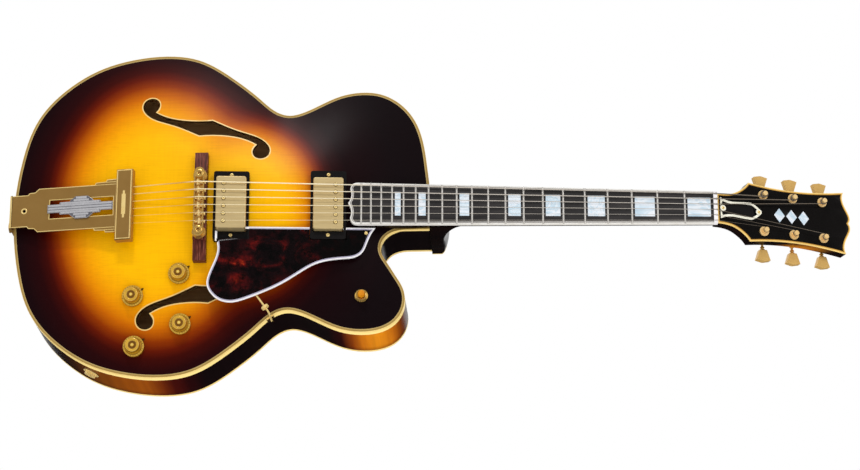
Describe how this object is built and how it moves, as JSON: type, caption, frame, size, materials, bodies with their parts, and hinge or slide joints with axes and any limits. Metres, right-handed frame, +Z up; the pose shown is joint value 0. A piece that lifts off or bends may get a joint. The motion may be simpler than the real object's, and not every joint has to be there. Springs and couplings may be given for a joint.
{
  "type": "archtop guitar",
  "caption": "Hollow-body archtop guitar with a rounded cutaway, f-holes, trapeze tailpiece, adjustable bridge, covered pickups, knobs and geared tuners.",
  "frame": {"origin": "on the rim at the middle of the tail, where the strap button is fixed", "axes": "+X from the tail along the neck, -Y out of the face towards a listener, +Z up to the bass side, as the guitar is held for playing"},
  "size_m": [1.0782, 0.1499, 0.432],
  "materials": {
    "sunburst": "gloss sunburst lacquer",
    "inner_wood": "bare",
    "dark_wood": "gloss lacquer",
    "ebony": "oiled",
    "rosewood": "oiled",
    "binding": "aged gloss",
    "pearl": "pearl",
    "bone": "polished",
    "black_plastic": "gloss",
    "gold": "gold plated",
    "steel": "polished",
    "amber_plastic": "clear amber gloss",
    "ivory_plastic": "gloss"
  },
  "bodies": {
    "guitar": {"top_plate": "sunburst", "back_plate": "sunburst", "bass_side": "sunburst", "treble_side": "sunburst", "kerfed_linings": "inner_wood", "end_blocks": "inner_wood", "tone_bars": "inner_wood", "fingerboard": "ebony", "frets": "steel", "nut": "bone", "headstock_face": "black_plastic", "neck_binding": "binding", "pearl_inlays": "pearl", "neck": "dark_wood", "truss_rod": "steel", "body_binding": "binding", "truss_rod_cover": "black_plastic", "tailpiece": "gold", "tailpiece_insert": "steel", "strap_button": "gold", "bridge_base": "rosewood", "bridge_posts": "gold", "pickup_rings": "black_plastic", "pickguard": "black_plastic", "pickguard_bracket": "gold", "controls": "steel", "output_jack": "gold", "tuner_housings": "gold", "tuner_bushings": "gold", "screws": "gold", "strings": "steel"},
    "tuner_button_6": {"tuner_button_6": "gold"},
    "tuner_post_6": {"tuner_post_6": "gold"},
    "tuner_button_5": {"tuner_button_5": "gold"},
    "tuner_post_5": {"tuner_post_5": "gold"},
    "tuner_button_4": {"tuner_button_4": "gold"},
    "tuner_post_4": {"tuner_post_4": "gold"},
    "tuner_button_1": {"tuner_button_1": "gold"},
    "tuner_post_1": {"tuner_post_1": "gold"},
    "tuner_button_2": {"tuner_button_2": "gold"},
    "tuner_post_2": {"tuner_post_2": "gold"},
    "tuner_button_3": {"tuner_button_3": "gold"},
    "tuner_post_3": {"tuner_post_3": "gold"},
    "neck_volume_knob": {"neck_volume_knob": "amber_plastic"},
    "bridge_volume_knob": {"bridge_volume_knob": "amber_plastic"},
    "neck_tone_knob": {"neck_tone_knob": "amber_plastic"},
    "bridge_tone_knob": {"bridge_tone_knob": "amber_plastic"},
    "switch_lever": {"switch_lever": "ivory_plastic"},
    "bridge": {"bridge_frame": "gold", "saddle_screws": "gold"},
    "thumbwheel_bass": {"thumbwheel_bass": "gold"},
    "thumbwheel_treble": {"thumbwheel_treble": "gold"},
    "saddle_6": {"saddle_6": "gold"},
    "saddle_5": {"saddle_5": "gold"},
    "saddle_4": {"saddle_4": "gold"},
    "saddle_3": {"saddle_3": "gold"},
    "saddle_2": {"saddle_2": "gold"},
    "saddle_1": {"saddle_1": "gold"},
    "bridge_pickup": {"bridge_pickup": "gold"},
    "neck_pickup": {"neck_pickup": "gold"}
  },
  "joints": [
    {"name": "tuner_button_6_turn", "type": "hinge", "parent": "guitar", "child": "tuner_button_6", "pos_m": [0.94864, 0.01537, 0.0243], "axis": [0, 0, 1], "continuous": true},
    {"name": "tuner_post_6_turn", "type": "hinge", "parent": "guitar", "child": "tuner_post_6", "pos_m": [0.94993, -0.00682, 0.0243], "axis": [0.3693, -0.9293, 0], "continuous": true},
    {"name": "tuner_button_5_turn", "type": "hinge", "parent": "guitar", "child": "tuner_button_5", "pos_m": [0.9874, 0.03077, 0.0243], "axis": [0, 0, 1], "continuous": true},
    {"name": "tuner_post_5_turn", "type": "hinge", "parent": "guitar", "child": "tuner_post_5", "pos_m": [0.98868, 0.00857, 0.0243], "axis": [0.3693, -0.9293, 0], "continuous": true},
    {"name": "tuner_button_4_turn", "type": "hinge", "parent": "guitar", "child": "tuner_button_4", "pos_m": [1.02615, 0.04616, 0.0243], "axis": [0, 0, 1], "continuous": true},
    {"name": "tuner_post_4_turn", "type": "hinge", "parent": "guitar", "child": "tuner_post_4", "pos_m": [1.02744, 0.02397, 0.0243], "axis": [0.3693, -0.9293, 0], "continuous": true},
    {"name": "tuner_button_1_turn", "type": "hinge", "parent": "guitar", "child": "tuner_button_1", "pos_m": [0.94864, 0.01537, -0.0243], "axis": [0, 0, -1], "continuous": true},
    {"name": "tuner_post_1_turn", "type": "hinge", "parent": "guitar", "child": "tuner_post_1", "pos_m": [0.94993, -0.00682, -0.0243], "axis": [0.3693, -0.9293, 0], "continuous": true},
    {"name": "tuner_button_2_turn", "type": "hinge", "parent": "guitar", "child": "tuner_button_2", "pos_m": [0.9874, 0.03077, -0.0243], "axis": [0, 0, -1], "continuous": true},
    {"name": "tuner_post_2_turn", "type": "hinge", "parent": "guitar", "child": "tuner_post_2", "pos_m": [0.98868, 0.00857, -0.0243], "axis": [0.3693, -0.9293, 0], "continuous": true},
    {"name": "tuner_button_3_turn", "type": "hinge", "parent": "guitar", "child": "tuner_button_3", "pos_m": [1.02615, 0.04616, -0.0243], "axis": [0, 0, -1], "continuous": true},
    {"name": "tuner_post_3_turn", "type": "hinge", "parent": "guitar", "child": "tuner_post_3", "pos_m": [1.02744, 0.02397, -0.0243], "axis": [0.3693, -0.9293, 0], "continuous": true},
    {"name": "neck_volume_turn", "type": "hinge", "parent": "guitar", "child": "neck_volume_knob", "pos_m": [0.21521, -0.05784, -0.08579], "axis": [0.0072, -0.9944, -0.1052], "range_deg": [-150, 150]},
    {"name": "bridge_volume_turn", "type": "hinge", "parent": "guitar", "child": "bridge_volume_knob", "pos_m": [0.15735, -0.05337, -0.1131], "axis": [-0.052, -0.9928, -0.1078], "range_deg": [-150, 150]},
    {"name": "neck_tone_turn", "type": "hinge", "parent": "guitar", "child": "neck_tone_knob", "pos_m": [0.21732, -0.05001, -0.14961], "axis": [0.0163, -0.9919, -0.1262], "range_deg": [-150, 150]},
    {"name": "bridge_tone_turn", "type": "hinge", "parent": "guitar", "child": "bridge_tone_knob", "pos_m": [0.15968, -0.04644, -0.17689], "axis": [-0.0219, -0.9949, -0.0984], "range_deg": [-150, 150]},
    {"name": "switch_throw", "type": "hinge", "parent": "guitar", "child": "switch_lever", "pos_m": [0.44286, -0.04348, -0.11449], "axis": [0.9977, 0.0679, 0.0018], "range_deg": [-14, 14]},
    {"name": "bridge_lift", "type": "slide", "parent": "guitar", "child": "bridge", "axis": [0, -1, 0], "range_m": [-0.0015, 0.0015], "deforming": ["strings"]},
    {"name": "thumbwheel_bass_turn", "type": "hinge", "parent": "bridge", "child": "thumbwheel_bass", "pos_m": [0.241, -0.07555, 0.0375], "axis": [0, -1, 0], "range_deg": [-676, 676]},
    {"name": "thumbwheel_treble_turn", "type": "hinge", "parent": "bridge", "child": "thumbwheel_treble", "pos_m": [0.241, -0.07555, -0.0375], "axis": [0, -1, 0], "range_deg": [-676, 676]},
    {"name": "saddle_6_slide", "type": "slide", "parent": "bridge", "child": "saddle_6", "axis": [1, 0, 0], "range_m": [-0.00073, 0.00407], "deforming": ["strings"]},
    {"name": "saddle_5_slide", "type": "slide", "parent": "bridge", "child": "saddle_5", "axis": [1, 0, 0], "range_m": [-0.00152, 0.00328], "deforming": ["strings"]},
    {"name": "saddle_4_slide", "type": "slide", "parent": "bridge", "child": "saddle_4", "axis": [1, 0, 0], "range_m": [-0.00249, 0.00231], "deforming": ["strings"]},
    {"name": "saddle_3_slide", "type": "slide", "parent": "bridge", "child": "saddle_3", "axis": [1, 0, 0], "range_m": [-0.0017, 0.0031], "deforming": ["strings"]},
    {"name": "saddle_2_slide", "type": "slide", "parent": "bridge", "child": "saddle_2", "axis": [1, 0, 0], "range_m": [-0.00266, 0.00214], "deforming": ["strings"]},
    {"name": "saddle_1_slide", "type": "slide", "parent": "bridge", "child": "saddle_1", "axis": [1, 0, 0], "range_m": [-0.00354, 0.00126], "deforming": ["strings"]},
    {"name": "bridge_pickup_height", "type": "slide", "parent": "guitar", "child": "bridge_pickup", "axis": [0.0814, -0.9967, 0], "range_m": [-0.002, 0.0008]},
    {"name": "neck_pickup_height", "type": "slide", "parent": "guitar", "child": "neck_pickup", "axis": [0.0814, -0.9967, 0], "range_m": [-0.002, 0.0016]}
  ],
  "couplings": [
    {"joint": "tuner_post_6_turn", "follows": "tuner_button_6_turn", "ratio": 0.071429},
    {"joint": "tuner_post_5_turn", "follows": "tuner_button_5_turn", "ratio": 0.071429},
    {"joint": "tuner_post_4_turn", "follows": "tuner_button_4_turn", "ratio": 0.071429},
    {"joint": "tuner_post_1_turn", "follows": "tuner_button_1_turn", "ratio": 0.071429},
    {"joint": "tuner_post_2_turn", "follows": "tuner_button_2_turn", "ratio": 0.071429},
    {"joint": "tuner_post_3_turn", "follows": "tuner_button_3_turn", "ratio": 0.071429},
    {"joint": "thumbwheel_bass_turn", "follows": "bridge_lift", "rad_per_m": 7854},
    {"joint": "thumbwheel_treble_turn", "follows": "bridge_lift", "rad_per_m": 7854}
  ]
}
